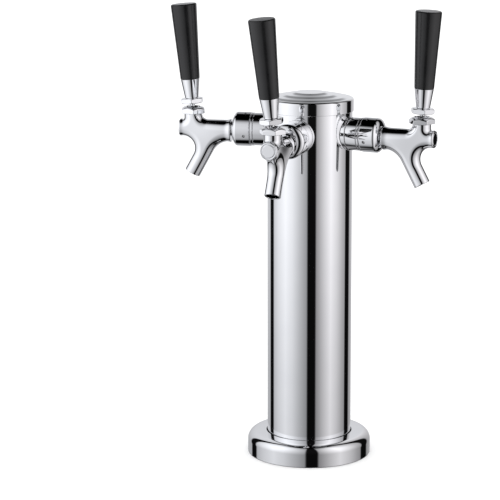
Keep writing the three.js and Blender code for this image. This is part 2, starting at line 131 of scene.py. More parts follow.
def arc(centre, size, start, end, steps):
    """Points of an elliptical arc, its angles in degrees."""
    angles = [math.radians(start + (end - start) * k / steps) for k in range(steps + 1)]
    return [(centre[0] + size[0] * math.cos(a), centre[1] + size[1] * math.sin(a)) for a in angles]


def turned(outline, sides=96, closed=False):
    """Vertices and faces of an outline turned about Z. Points at radius 0 become single poles."""
    vertices, rings = [], []
    for radius, height in outline:
        if radius < 1e-6:
            rings.append([len(vertices)])
            vertices.append((0.0, 0.0, height))
            continue
        rings.append(list(range(len(vertices), len(vertices) + sides)))
        for k in range(sides):
            angle = 2 * math.pi * k / sides
            vertices.append((radius * math.cos(angle), radius * math.sin(angle), height))
    faces = []
    spans = list(zip(rings, rings[1:])) + ([(rings[-1], rings[0])] if closed else [])
    for low, high in spans:
        for k in range(sides):
            n = (k + 1) % sides
            if len(low) == 1 and len(high) == 1:
                continue
            if len(low) == 1:
                faces.append((low[0], high[n], high[k]))
            elif len(high) == 1:
                faces.append((low[k], low[n], high[0]))
            else:
                faces.append((low[k], low[n], high[n], high[k]))
    return np.array(vertices), faces


def outward(vertices):
    """Lays a form made along +Z out along +X, the outward way of a tap."""
    x, y, z = np.asarray(vertices, float).T
    return np.stack([z, y, -x], 1)


def make_mesh(name, vertices, faces, normals=None):
    """A smooth mesh in metres from millimetres. Unless normals are given, the larger faces lead them."""
    mesh = bpy.data.meshes.new(name)
    mesh.from_pydata((np.asarray(vertices) * MM).tolist(), [], [tuple(f) for f in faces])
    mesh.validate()
    if signed_volume(mesh) < 0:
        mesh.flip_normals()
    mesh.polygons.foreach_set("use_smooth", [True] * len(mesh.polygons))
    mesh.update()
    if normals is None:
        normals = weighted_normals(mesh)
    mesh.normals_split_custom_set_from_vertices(np.asarray(normals).tolist())
    return mesh


def signed_volume(mesh):
    """Six times the volume, below 0 when the faces point inward."""
    co = np.zeros(len(mesh.vertices) * 3)
    mesh.vertices.foreach_get("co", co)
    co = co.reshape(-1, 3)
    mesh.calc_loop_triangles()
    tri = np.zeros(len(mesh.loop_triangles) * 3, int)
    mesh.loop_triangles.foreach_get("vertices", tri)
    a, b, c = (co[tri.reshape(-1, 3)[:, k]] for k in range(3))
    return float(np.einsum("ij,ij->", a, np.cross(b, c)))


def weighted_normals(mesh):
    """Vertex normals in which each face counts by its area."""
    faces = len(mesh.polygons)
    normal, area, centre = np.zeros(faces * 3), np.zeros(faces), np.zeros(faces * 3)
    mesh.polygons.foreach_get("normal", normal)
    mesh.polygons.foreach_get("area", area)
    mesh.polygons.foreach_get("center", centre)
    normal = normal.reshape(-1, 3) * area[:, None]
    total = np.zeros((len(mesh.vertices), 3))
    loops = np.zeros(len(mesh.loops), int)
    mesh.loops.foreach_get("vertex_index", loops)
    counts = np.zeros(faces, int)
    mesh.polygons.foreach_get("loop_total", counts)
    np.add.at(total, loops, np.repeat(normal, counts, axis=0))
    length = np.linalg.norm(total, axis=1, keepdims=True)
    return total / np.maximum(length, 1e-20)


# ---- surfaces of distance fields, for forms that run into each other ----
def field_surface(field, low, high, step):
    """Vertices, quads and normals of field = 0: one point per mixed cell, then drawn onto the surface."""
    axes = [np.arange(a, b + step, step) for a, b in zip(low, high)]
    shape = tuple(len(a) for a in axes)
    grid = np.stack(np.meshgrid(*axes, indexing="ij"), -1).reshape(-1, 3)
    value = field(grid).reshape(shape)
    inside = value < 0
    cells = tuple(n - 1 for n in shape)
    total, hits = np.zeros(cells + (3,)), np.zeros(cells)
    for axis in range(3):
        ahead = [slice(None)] * 3
        behind = [slice(None)] * 3
        ahead[axis], behind[axis] = slice(1, None), slice(0, -1)
        a, b = value[tuple(behind)], value[tuple(ahead)]
        crossing = (a < 0) != (b < 0)
        t = np.where(crossing, a / np.where(crossing, a - b, 1.0), 0.0)
        others = [k for k in range(3) if k != axis]
        for i in (0, 1):
            for j in (0, 1):
                pick = [slice(None)] * 3
                pick[others[0]] = slice(i, cells[others[0]] + i)
                pick[others[1]] = slice(j, cells[others[1]] + j)
                c, s = crossing[tuple(pick)], t[tuple(pick)]
                hits += c
                total[..., axis] += np.where(c, s, 0)
                total[..., others[0]] += np.where(c, i, 0)
                total[..., others[1]] += np.where(c, j, 0)
    mixed = hits > 0
    index = np.full(cells, -1)
    index[mixed] = np.arange(mixed.sum())
    base = np.stack(np.nonzero(mixed), -1)
    points = (base + total[mixed] / hits[mixed][:, None]) * step + np.array([a[0] for a in axes])
    quads = []
    for axis in range(3):
        others = [(axis + 1) % 3, (axis + 2) % 3]
        pick_a = [slice(1, -1)] * 3
        pick_b = [slice(1, -1)] * 3
        pick_a[axis], pick_b[axis] = slice(0, -1), slice(1, None)
        a, b = inside[tuple(pick_a)], inside[tuple(pick_b)]
        where = np.stack(np.nonzero(a != b), -1)
        flip = b[tuple(where.T)]
        where[:, others] += 1
        corners = []
        for i, j in ((1, 1), (0, 1), (0, 0), (1, 0)):
            at = where.copy()
            at[:, others[0]] -= i
            at[:, others[1]] -= j
            corners.append(index[tuple(at.T)])
        quad = np.stack(corners, -1)
        quad[flip] = quad[flip][:, ::-1]
        quads.append(quad)
    quads = np.concatenate(quads)
    for _ in range(5):
        distance, slope = field(points), gradient(field, points)
        move = distance[:, None] * slope / np.maximum((slope**2).sum(1, keepdims=True), 0.05)
        points = points - np.clip(move, -0.5 * step, 0.5 * step)
    slope = gradient(field, points)
    return points, quads, slope / np.maximum(np.linalg.norm(slope, axis=1, keepdims=True), 1e-9)


def gradient(field, points, h=1e-3):
    """Slope of the field by central differences."""
    out = np.empty_like(points)
    for k in range(3):
        d = np.zeros(3)
        d[k] = h
        out[:, k] = (field(points + d) - field(points - d)) / (2 * h)
    return out


def rod_field(p, a, b, radius, edge=0.0):
    """Distance to a round rod from a to b with a rounded edge."""
    a, b = np.array(a, float), np.array(b, float)
    length = np.linalg.norm(b - a)
    along = (p - a) @ ((b - a) / length)
    away = np.linalg.norm(p - a - along[:, None] * (b - a) / length, axis=1) - radius + edge
    past = np.abs(along - length / 2) - length / 2 + edge
    outside = np.hypot(np.maximum(away, 0), np.maximum(past, 0))
    return outside + np.minimum(np.maximum(away, past), 0) - edge


def join(a, b, fillet):
    """Union of two fields with a fillet where they meet."""
    u, v = np.maximum(fillet - a, 0), np.maximum(fillet - b, 0)
    return np.maximum(fillet, np.minimum(a, b)) - np.hypot(u, v)


def common(a, b, edge):
    """What two fields share, with the edge between them rounded off."""
    u, v = np.maximum(edge + a, 0), np.maximum(edge + b, 0)
    return np.minimum(-edge, np.maximum(a, b)) + np.hypot(u, v)


def soft_above_zero(x, soft):
    """x where it is above zero and zero below, without a crease."""
    return np.where(x > soft, x, np.where(x < -soft, 0.0, (x + soft) ** 2 / (4 * soft)))


def smoothstep(x, low, high):
    t = np.clip((x - low) / (high - low), 0, 1)
    return t * t * (3 - 2 * t)


# ---- materials ----
def new_material(name):
    material = bpy.data.materials.new(name)
    material.use_nodes = True
    tree = material.node_tree
    shader = tree.nodes["Principled BSDF"]
    where = tree.nodes.new("ShaderNodeTexCoord")
    return material, tree, shader, where.outputs["Object"]


def noise(tree, where, scale, detail=2.0, stretch=(1, 1, 1)):
    mapping = tree.nodes.new("ShaderNodeMapping")
    mapping.inputs["Scale"].default_value = stretch
    texture = tree.nodes.new("ShaderNodeTexNoise")
    texture.inputs["Scale"].default_value = scale
    texture.inputs["Detail"].default_value = detail
    tree.links.new(where, mapping.inputs["Vector"])
    tree.links.new(mapping.outputs["Vector"], texture.inputs["Vector"])
    return texture.outputs["Fac"]


def ramp(tree, fac, stops):
    node = tree.nodes.new("ShaderNodeValToRGB")
    elements = node.color_ramp.elements
    while len(elements) > len(stops):
        elements.remove(elements[-1])
    while len(elements) < len(stops):
        elements.new(1.0)
    for element, (position, colour) in zip(elements, stops):
        element.position = position
        element.color = (*colour, 1.0)
    tree.links.new(fac, node.inputs["Fac"])
    return node.outputs["Color"]


def spread(tree, fac, low, high):
    node = tree.nodes.new("ShaderNodeMapRange")
    node.inputs["To Min"].default_value = low
    node.inputs["To Max"].default_value = high
    tree.links.new(fac, node.inputs["Value"])
    return node.outputs["Result"]


def bump(tree, shader, height, strength, distance):
    node = tree.nodes.new("ShaderNodeBump")
    node.inputs["Strength"].default_value = strength
    node.inputs["Distance"].default_value = distance
    tree.links.new(height, node.inputs["Height"])
    tree.links.new(node.outputs["Normal"], shader.inputs["Normal"])


def two_tone(tree, shader, fac, dark, light):
    """A base colour that wanders between two close tones."""
    tree.links.new(ramp(tree, fac, [(0.3, dark), (0.7, light)]), shader.inputs["Base Color"])


def roughness_between(tree, shader, fac, low, high):
    tree.links.new(spread(tree, fac, low, high), shader.inputs["Roughness"])


def chrome():
    material, tree, shader, where = new_material("polished_chrome")
    shader.inputs["Metallic"].default_value = 1.0
    two_tone(tree, shader, noise(tree, where, 35.0, 3.0), (0.885, 0.89, 0.905), (0.91, 0.915, 0.925))
    roughness_between(tree, shader, noise(tree, where, 160.0, 4.0), 0.02, 0.045)
    return material


def steel():
    material, tree, shader, where = new_material("machined_steel")
    shader.inputs["Metallic"].default_value = 1.0
    turned_marks = noise(tree, where, 900.0, 2.0, (1, 1, 6))
    two_tone(tree, shader, turned_marks, (0.5, 0.5, 0.5), (0.64, 0.64, 0.63))
    roughness_between(tree, shader, turned_marks, 0.28, 0.45)
    bump(tree, shader, turned_marks, 0.15, 0.0002)
    return material


def grip_plastic():
    material, tree, shader, where = new_material("black_grip_plastic")
    cloud = noise(tree, where, 60.0, 4.0)
    grain = noise(tree, where, 2400.0, 2.0)
    two_tone(tree, shader, cloud, (0.005, 0.005, 0.0055), (0.008, 0.008, 0.0085))
    roughness_between(tree, shader, cloud, 0.2, 0.26)
    bump(tree, shader, grain, 0.12, 0.00015)
    return material


def soft_material(name, dark, light, scale, roughness, strength):
    material, tree, shader, where = new_material(name)
    cloud = noise(tree, where, scale, 4.0)
    two_tone(tree, shader, cloud, dark, light)
    roughness_between(tree, shader, cloud, roughness - 0.08, roughness + 0.08)
    bump(tree, shader, noise(tree, where, scale * 4, 3.0), strength, 0.0004)
    return material


MATERIALS = {
    "chrome": chrome(),
    "steel": steel(),
    "grip": grip_plastic(),
    "rubber": soft_material("black_rubber", (0.012, 0.012, 0.012), (0.03, 0.03, 0.031), 300.0, 0.75, 0.3),
    "nylon": soft_material("white_nylon", (0.72, 0.70, 0.65), (0.82, 0.80, 0.75), 200.0, 0.5, 0.1),
    "foam": soft_material("closed_cell_foam", (0.035, 0.035, 0.038), (0.07, 0.07, 0.075), 500.0, 0.88, 0.7),
}


# ---- placing ----
COLUMN_PLACE = Matrix.Translation((0, COLUMN_AXIS_Y * MM, 0))


def add_object(name, data):
    thing = bpy.data.objects.new(name, data)
    bpy.context.scene.collection.objects.link(thing)
    return thing


def tap_place(tap):
    turn = Matrix.Rotation(math.radians(tap.heading), 4, "Z")
    return COLUMN_PLACE @ Matrix.Translation((0, 0, SHANK_HEIGHT * MM)) @ turn


def handle_place(tap):
    pivot = Matrix.Translation((PIVOT_REACH * MM, 0, PIVOT_HEIGHT * MM))
    side_lean = Matrix.Rotation(math.radians(tap.side_lean), 4, "X")
    return tap_place(tap) @ pivot @ side_lean @ Matrix.Rotation(math.radians(tap.lean), 4, "Y")


def stand_for(node, mesh, place):
    """A finer piece in place of a CAD node, on the same body and with the same finish."""
    normals = np.array([v.vector[:] for v in mesh.vertex_normals])
    if mesh.has_custom_normals:
        corner = np.array([v.vector[:] for v in mesh.corner_normals])
        loops = np.zeros(len(mesh.loops), int)
        mesh.loops.foreach_get("vertex_index", loops)
        normals[loops] = corner
    mesh.transform(place)
    turn = np.array(place.to_3x3())
    mesh.normals_split_custom_set_from_vertices((normals @ turn.T).tolist())
    mesh.materials.clear()
    mesh.materials.append(MATERIALS[SLOT_OF[node]])
    piece = add_object(f"{node}_fine", mesh)
    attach(piece, BODY_OF[node])
    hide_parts(node)


# ---- tower ----
def column_tube():
    bore, low = COLUMN_RADIUS - COLUMN_WALL, PLATE_TOP + GAP
    corners = [(COLUMN_RADIUS, low, 0.3), (COLUMN_RADIUS, TUBE_TOP, 0.3)]
    corners += [(bore, TUBE_TOP, 0.3), (bore, low, 0.3)]
    return make_mesh("column_tube", *turned(rounded(corners, True), 192, True))


def column_cap():
    """A rounded rim, then three low steps that slope gently between them, up to a flat middle."""
    steps, step_rise, slope_rise, fillet = ((35.3, 31.7), (26.3, 22.7), (17.3, 13.7)), 1.15, 0.64, 2.5
    foot, top, bore = CAP_RIM - CAP_SKIRT, CAP_RIM + 0.35, COLUMN_RADIUS + GAP
    corners = [(CAP_RADIUS, foot, 0.4), (CAP_RADIUS, CAP_RIM, 2.9)]
    for outer, inner in steps:
        corners += [(outer, top, fillet), (inner, top + step_rise, fillet)]
        top += step_rise + slope_rise
    underside = CAP_RIM - CAP_THICKNESS
    corners += [(0, top - slope_rise), (0, underside), (bore, underside, 0.3), (bore, foot, 0.2)]
    return make_mesh("column_cap", *turned(rounded(corners, True), 192, True))


def base_cover():
    """A low shell: a straight side, a quarter-round shoulder and an almost flat crown round the column."""
    centre = (COVER_RADIUS - COVER_SHOULDER, COVER_HEIGHT - COVER_SHOULDER)
    inside = COVER_SHOULDER - COVER_WALL
    outer = [(COVER_RADIUS, GAP, 0.4)] + arc(centre, (COVER_SHOULDER, COVER_SHOULDER - 0.3), 0, 90, 24)
    crown = [(44.0, COVER_HEIGHT - 0.08), (COVER_HOLE_RADIUS, COVER_HEIGHT, 0.4)]
    hole = [(COVER_HOLE_RADIUS, COVER_HEIGHT - COVER_WALL, 0.3)]
    inner = arc(centre, (inside, inside), 90, 0, 9) + [(COVER_RADIUS - COVER_WALL, GAP, 0.4)]
    return make_mesh("base_cover", *turned(rounded(outer + crown + hole + inner, True), 192, True))


def insulation_sleeve():
    (bore, radius), low = FOAM_RADII, PLATE_TOP + GAP
    corners = [(bore, low, 1.5), (radius, low, 1.5), (radius, FOAM_TOP, 2.5), (bore, FOAM_TOP, 2.5)]
    return make_mesh("insulation_sleeve", *turned(rounded(corners, True), 128, True))


def flange_ring(name, low, high, edge):
    """A flat ring with four bolt holes."""
    bore, radius = FLANGE_RADII
    bolt = BOLT_CIRCLE_RADIUS * math.sqrt(0.5)

    def field(p):
        around = np.abs(np.hypot(p[:, 0], p[:, 1]) - (bore + radius) / 2) - (radius - bore) / 2
        ring = common(around, np.abs(p[:, 2] - (low + high) / 2) - (high - low) / 2, edge)
        from_bolt = np.hypot(np.abs(p[:, 0]) - bolt, np.abs(p[:, 1]) - bolt)
        return common(ring, BOLT_HOLE_RADIUS - from_bolt, edge)

    room = radius + 0.9
    points, quads, normals = field_surface(field, (-room, -room, low - 1.1), (room, room, high + 1.1), 0.6)
    return make_mesh(name, points, quads, normals)


def base_plate():
    return flange_ring("base_plate", PLATE_BOTTOM, PLATE_TOP, 0.5)


def base_gasket():
    return flange_ring("base_gasket", 0.0, GASKET_THICKNESS, 0.35)


TOWER_PIECES = {
    "column_tube": column_tube, "column_cap": column_cap, "base_cover": base_cover,
    "base_plate": base_plate, "base_gasket": base_gasket, "insulation_sleeve": insulation_sleeve,
}
for node_name, build in TOWER_PIECES.items():
    stand_for(node_name, build(), COLUMN_PLACE)


# ---- pieces on the shank ----
def shank_ring(name, radius, low, high, edge):
    corners = [(SHANK_BORE, low, 0.2), (radius, low, edge), (radius, high, edge), (SHANK_BORE, high, 0.2)]
    vertices, faces = turned(rounded(corners, True), 96, True)
    return make_mesh(name, outward(vertices), faces)


def shank_sleeve():
    return shank_ring("sleeve", SLEEVE_RADIUS, SADDLE_END + GAP, SLEEVE_END, 0.35)


def trim_ring():
    return shank_ring("trim_ring", TRIM_RING_RADIUS, SLEEVE_END + GAP, TRIM_RING_END, 0.6)


def saddle_ring():
    """A ring whose rear face is hollowed to sit on the round column."""
    corners = [(SHANK_BORE, SADDLE_START), (SADDLE_RADIUS, SADDLE_START, 0.2)]
    corners += [(SADDLE_RADIUS, SADDLE_END, 0.45), (SHANK_BORE, SADDLE_END, 0.2)]
    vertices, faces = turned(rounded(corners, True), 128, True)
    vertices = outward(vertices)
    rear = vertices[:, 0] < SADDLE_START + 0.3
    seat = np.sqrt((COLUMN_RADIUS + 0.35) ** 2 - vertices[rear, 1] ** 2)
    vertices[rear, 0] = seat + (vertices[rear, 0] - SADDLE_START) * 0.3
    return make_mesh("saddle_ring", vertices, faces)


def coupling_nut(hole_clock):
    """A round nut with an elliptical nose, an inner shoulder and four spanner holes."""
    start, thread_end, thread_radius, mouth_radius = TRIM_RING_END + GAP, 65.5, 14.3, 7.6
    nose_width, nose_length = 7.2, 4.4
    hole_reach, hole_radius, hole_floor, hole_end = 57.6, 1.35, 13, 18

    def field(p):
        around = np.hypot(p[:, 1], p[:, 2])
        inward = np.maximum(around - NUT_RADIUS + nose_width, 0)
        ahead = np.maximum(p[:, 0] - NUT_END + nose_length, 0)
        block = (np.hypot(inward / nose_width, ahead / nose_length) - 1) * nose_length
        block = common(block, start - p[:, 0], 0.6)
        bore = np.minimum(around - mouth_radius, np.maximum(around - thread_radius, p[:, 0] - thread_end))
        block = common(block, -bore, 0.3)
        for k in range(4):
            angle = math.radians(hole_clock + 90 * k)
            way = np.array([0, -math.sin(angle), math.cos(angle)])
            middle = np.array([hole_reach, 0, 0])
            hole = rod_field(p, middle + way * hole_floor, middle + way * hole_end, hole_radius)
            block = common(block, -hole, 0.15)
        return block

    room = NUT_RADIUS + 1.0
    points, quads, normals = field_surface(field, (start - 1, -room, -room), (NUT_END + 1, room, room), 0.42)
    return make_mesh("coupling_nut", points, quads, normals)


# ---- faucet body ----
def spout_point(distance):
    """A point on the spout's axis, some distance up from its mouth."""
    return (MOUTH[0] - distance * math.sin(SPOUT_TILT), 0.0, MOUTH[1] + distance * math.cos(SPOUT_TILT))


def spout_side(height, offset):
    """Reach of the spout's rear (offset below 0) or front side at some height."""
    return MOUTH[0] - (height - MOUTH[1]) * math.tan(SPOUT_TILT) + offset / math.cos(SPOUT_TILT)


def side_outline():
    """The casting from the side, anticlockwise: (reach, height, fillet). The limbs run on past their ends."""
    barrel_top, barrel_under, nub_radius, boss_radius = 7.8, -11.6, 7.6, 8.15
    boss_rear, boss_front = PIVOT_REACH - boss_radius, PIVOT_REACH + boss_radius
    rear, front, above, below = 40.0, 140.0, 40.0, -70.0
    return [
        (boss_front, above, 0), (boss_rear, above, 0), (boss_rear, barrel_top, 5.2),
        (rear, barrel_top, 0), (rear, barrel_under, 0),
        (spout_side(barrel_under, -SPOUT_RADIUS), barrel_under, 18),
        (spout_side(below, -SPOUT_RADIUS), below, 0), (spout_side(below, SPOUT_RADIUS), below, 0),
        (spout_side(-nub_radius, SPOUT_RADIUS), -nub_radius, 10.9),
        (front, -nub_radius, 0), (front, nub_radius, 0), (boss_front, nub_radius, 1.4),
    ]


def outline_distance(points, corners):
    """Distance in the plane to straight runs joined by round fillets, below 0 inside."""
    nearest = np.full(len(points), 1e9)

    def keep(distance):
        return np.where(np.abs(distance) < np.abs(nearest), distance, nearest)

    ends = []
    for i, (x, z, fillet) in enumerate(corners):
        corner = np.array((x, z))
        u, v = corners[i - 1][:2] - corner, corners[(i + 1) % len(corners)][:2] - corner
        u, v = u / np.linalg.norm(u), v / np.linalg.norm(v)
        half = math.acos(u @ v) / 2
        ends.append((corner + u * fillet / math.tan(half), corner + v * fillet / math.tan(half)))
        if fillet:
            away = (u + v) / np.linalg.norm(u + v)
            from_centre = points - corner - away * fillet / math.sin(half)
            length = np.hypot(*from_centre.T)
            bend = -1 if u[0] * v[1] > u[1] * v[0] else 1
            facing = from_centre @ -away >= length * math.sin(half)
            nearest = keep(np.where(facing, bend * (length - fillet), 1e9))
    for i, (_, start) in enumerate(ends):
        run = ends[(i + 1) % len(ends)][0] - start
        length = np.linalg.norm(run)
        way, from_start = run / length, points - start
        along = np.clip(from_start @ way, 0, length)
        across = from_start[:, 0] * way[1] - from_start[:, 1] * way[0]
        nearest = keep(np.copysign(np.hypot(*(from_start - along[:, None] * way).T), across))
    return nearest


def body_outside(p):
    """One flowing casting: its side outline swollen to both sides, so that its edges are round."""
    reach, side, height = p.T
    rear_half, nub_half, spout_half = 9.4, 7.3, 7.1
    rear_flare = 0.9 * (1 - smoothstep(reach, BARREL_START - 0.3, 78.5)) ** 2
    nub_flare = 0.4 * smoothstep(reach, 113.5, NUB_END + 0.2) ** 2
    half = rear_half + (nub_half - rear_half) * smoothstep(reach, 76, 119)
    half = half + (spout_half - half) * smoothstep(-height, 0, 32) + rear_flare + nub_flare
    outline = outline_distance(p[:, ::2], side_outline()) - rear_flare - nub_flare
    casting = np.hypot(soft_above_zero(outline + half, 0.8), side) - half
    casting = common(casting, reach - NUB_END, 1.35)
    casting = common(casting, height - BOSS_TOP, 0.35)
    casting = common(casting, BARREL_START - reach, 0.9)
    way = (math.sin(SPOUT_TILT), -math.cos(SPOUT_TILT))
    past_mouth = (reach - MOUTH[0]) * way[0] + (height - MOUTH[1]) * way[1]
    casting = common(casting, past_mouth, 0.5)
    groove_radius, groove_depth = 6.1, 0.6
    groove = np.hypot(np.hypot(side, height) - groove_radius, reach - NUB_END) - groove_depth
    casting = common(casting, -groove, 0.15)
    neck_radius, collar_radius, collar_start, collar_end = 6.9, 13.6, 60.7, 65.2
    neck = rod_field(p, (62, 0, 0), (75, 0, 0), neck_radius)
    collar = rod_field(p, (collar_start, 0, 0), (collar_end, 0, 0), collar_radius, 0.3)
    return join(casting, join(neck, collar, 0.3), 0.6)


def body_inside(p):
    """The way of the beer: a bore from the rear, a socket and a thread under the bonnet, and the spout."""
    bore_radius, socket_radius, thread_radius, flow_radius = 5.2, 6.0, 7.15, 6.1
    bore = rod_field(p, (58, 0, 0), (116.8, 0, 0), bore_radius)
    socket = rod_field(p, (PIVOT_REACH, 0, 0), (PIVOT_REACH, 0, 10), socket_radius)
    thread = rod_field(p, (PIVOT_REACH, 0, 6.4), (PIVOT_REACH, 0, 16), thread_radius)
    flow = rod_field(p, spout_point(-4), spout_point(38), flow_radius)
    return np.minimum.reduce([bore, socket, thread, flow])


def body_field(p):
    return common(body_outside(p), -body_inside(p), 0.35)


def faucet_body():
    points, quads, normals = field_surface(body_field, (59.5, -15, -48), (120.5, 15, 14.5), 0.55)
    return make_mesh("faucet_body", points, quads, normals)


# ---- bonnet and handle ----
def hexagon_field(p, flats, clock):
    """Distance to six flats about Z; clock turns a corner away from +X."""
    out = np.full(len(p), -1e9)
    for k in range(3):
        angle = math.radians(clock + 30 + 60 * k)
        across = np.abs(p[:, 0] * math.cos(angle) + p[:, 1] * math.sin(angle)) - flats / 2
        out = common(out, across, 0.3) if k else across
    return out


def chamfer(around, beyond, radius, lean):
    """A cone that cuts an end face at some radius. Lean is its normal: outward, then past the end."""
    return (around - radius) * lean[0] + beyond * lean[1]


def bonnet(clock):
    """A hexagonal cap with a sloping crown, a threaded skirt below and a mouth that widens upward."""
    flats, bottom, top = 20.5, 13.3, 19.4
    crown_radius, corner_radius, crown_foot, foot_radius = 7.8, 12.4, 16.6, 11.4
    skirt_radius, thread_bore, throat_radius, throat = 6.85, 6.3, 5.1, 15.9

    def field(p):
        around = np.hypot(p[:, 0], p[:, 1])
        from_middle = np.abs(p[:, 2] - (bottom + top) / 2) - (top - bottom) / 2
        head = common(hexagon_field(p, flats, clock), from_middle, 0.3)
        lean = np.array([top - crown_foot, corner_radius - crown_radius])
        lean = lean / np.linalg.norm(lean)
        head = common(head, chamfer(around, p[:, 2] - top, crown_radius, lean), 0.9)
        head = common(head, chamfer(around, bottom - p[:, 2], foot_radius, (0.5, 0.866)), 0.4)
        whole = np.minimum(head, rod_field(p, (0, 0, 11), (0, 0, bottom + 1), skirt_radius, 0.2))
        widening = np.maximum(p[:, 2] - throat, 0) * 0.54
        mouth = np.maximum(around - throat_radius - widening, 15 - p[:, 2])
        bore = np.minimum(rod_field(p, (0, 0, 9), (0, 0, throat), thread_bore), mouth)
        return common(whole, -bore, 0.2)

    points, quads, normals = field_surface(field, (-13.2, -13.2, 10), (13.2, 13.2, 20.3), 0.36)
    return make_mesh("bonnet", points + np.array([PIVOT_REACH, 0, 0]), quads, normals)


def jam_nut(clock):
    """A thin hexagonal nut, chamfered above and below."""
    flats, bottom, top, face_radius = 19.05, STUD_START, JAM_NUT_TOP, 9.0

    def field(p):
        around = np.hypot(p[:, 0], p[:, 1])
        from_middle = np.abs(p[:, 2] - (bottom + top) / 2) - (top - bottom) / 2
        head = common(hexagon_field(p, flats, clock), from_middle, 0.25)
        head = common(head, chamfer(around, p[:, 2] - top, face_radius, (0.43, 0.9)), 0.3)
        head = common(head, chamfer(around, bottom - p[:, 2], face_radius, (0.48, 0.877)), 0.3)
        return common(head, STUD_BORE - around, 0.2)

    points, quads, normals = field_surface(field, (-12, -12, 9.2), (12, 12, 16), 0.34)
    return make_mesh("jam_nut", points, quads, normals)


def lever():
    """Ball, neck and threaded stud turned in one, with the flat tongue under the ball."""
    ball_radius, neck_radius, stud_top = 5.6, 2.3, 28
    tongue_middle, tongue_half = np.array([0, 0, -9.0]), np.array([1.2, 1.3, 5.4])

    def field(p):
        ball = np.linalg.norm(p, axis=1) - ball_radius
        turned_part = join(ball, rod_field(p, (0, 0, 0), (0, 0, 12), neck_radius), 0.4)
        stud = rod_field(p, (0, 0, STUD_START), (0, 0, stud_top), STUD_RADIUS, 0.3)
        turned_part = np.minimum(turned_part, stud)
        q = np.abs(p - tongue_middle) - tongue_half + 0.4
        tongue = np.linalg.norm(np.maximum(q, 0), axis=1) + np.minimum(q.max(1), 0) - 0.4
        return join(turned_part, tongue, 0.3)

    points, quads, normals = field_surface(field, (-6.4, -6.4, -15.4), (6.4, 6.4, 28.8), 0.4)
    return make_mesh("lever", points, quads, normals)


def handle_ferrule():
    foot = JAM_NUT_TOP + GAP
    corners = [(STUD_BORE, foot, 0.2), (6.2, foot, 0.3)]
    corners += [(8.6, FERRULE_TOP, 0.25), (STUD_BORE, FERRULE_TOP, 0.2)]
    return make_mesh("handle_ferrule", *turned(rounded(corners, True), 96, True))


def handle_grip():
    """A long cone that widens upward, bored below for the stud, with a softly rounded top."""
    foot, socket_top = FERRULE_TOP + GAP, 40.2
    corners = [(0, socket_top), (STUD_BORE, socket_top, 0.3), (STUD_BORE, foot, 0.2), (8.7, foot, 0.35)]
    corners += [(11.68, GRIP_TOP - 1.2, 1.0), (10.85, GRIP_TOP - 0.2, 0.8), (0, GRIP_TOP)]
    return make_mesh("handle_grip", *turned(rounded(corners), 128))


body_mesh, lever_mesh = faucet_body(), lever()
for side, tap in TAPS.items():
    shank_frame, handle_frame = tap_place(tap), handle_place(tap)
    stand_for(f"{side}_saddle_ring", saddle_ring(), shank_frame)
    stand_for(f"{side}_shank_sleeve", shank_sleeve(), shank_frame)
    stand_for(f"{side}_trim_ring", trim_ring(), shank_frame)
    stand_for(f"{side}_coupling_nut", coupling_nut(tap.hole_clock), shank_frame)
    stand_for(f"{side}_faucet_body", body_mesh.copy(), shank_frame)
    stand_for(f"{side}_bonnet", bonnet(tap.bonnet_clock), shank_frame)
    stand_for(f"{side}_jam_nut", jam_nut(tap.jam_clock), handle_frame)
    stand_for(f"{side}_lever", lever_mesh.copy(), handle_frame)
    stand_for(f"{side}_handle_ferrule", handle_ferrule(), handle_frame)
    stand_for(f"{side}_handle_grip", handle_grip(), handle_frame)

# CAD pieces that stay: their own shape, with the finish of their slot.
for node_name, node in frame["nodes"].items():
    if not node.hide_render:
        node.data.materials.clear()
        node.data.materials.append(MATERIALS[SLOT_OF[node_name]])


# ---- studio ----
def emission_material(name):
    material = bpy.data.materials.new(name)
    material.use_nodes = True
    tree = material.node_tree
    tree.nodes.remove(tree.nodes["Principled BSDF"])
    glow = tree.nodes.new("ShaderNodeEmission")
    tree.links.new(glow.outputs["Emission"], tree.nodes["Material Output"].inputs["Surface"])
    return material, tree, glow


def math_node(tree, operation, *values):
    node = tree.nodes.new("ShaderNodeMath")
    node.operation = operation
    for socket, value in zip(node.inputs, values):
        if isinstance(value, (int, float)):
            socket.default_value = value
        else:
            tree.links.new(value, socket)
    return node.outputs[0]


# Light round the tent by compass angle: 0 faces -Y, 90 faces +X. Two broad soft boxes and three black flags.
BLACK = 0.004
ROUND_THE_TENT = [
    (-180, 0.62), (-116, 0.56), (-113, BLACK), (-97, BLACK), (-93, 0.62), (-75, 0.82), (-50, 1.0),
    (-30, 0.85), (-10, 0.57), (9, 0.33), (12, BLACK), (32, BLACK), (35, 0.3), (55, 0.64), (75, 0.94),
    (95, 0.72), (115, 0.45), (125, 0.36), (128, BLACK), (148, BLACK), (152, 0.38), (180, 0.62),
]
# and by height, in degrees above the tent's middle
UP_THE_TENT = [
    (-90, 0.01), (-68, 0.01), (-64, 0.1), (-58, 0.3), (-50, 0.5), (-40, 0.66), (-23, 0.78), (-14, 0.89),
    (-5, 1.0), (10, 1.12), (25, 1.2), (45, 1.05), (55, 0.75), (61, 0.4), (66, 0.1), (69, 0.01), (90, 0.01),
]
TENT_RADIUS = 0.6
TENT_MIDDLE = (0.0, COLUMN_AXIS_Y * MM, 0.165)
TENT_STRENGTH = 1.09


def tinted(angle, level):
    """The left soft box is slightly cooler than the right one."""
    cool, mild = (0.975, 0.985, 1.02), (1.0, 0.985, 1.01)
    return tuple(level * c for c in (cool if angle < 10 else mild))


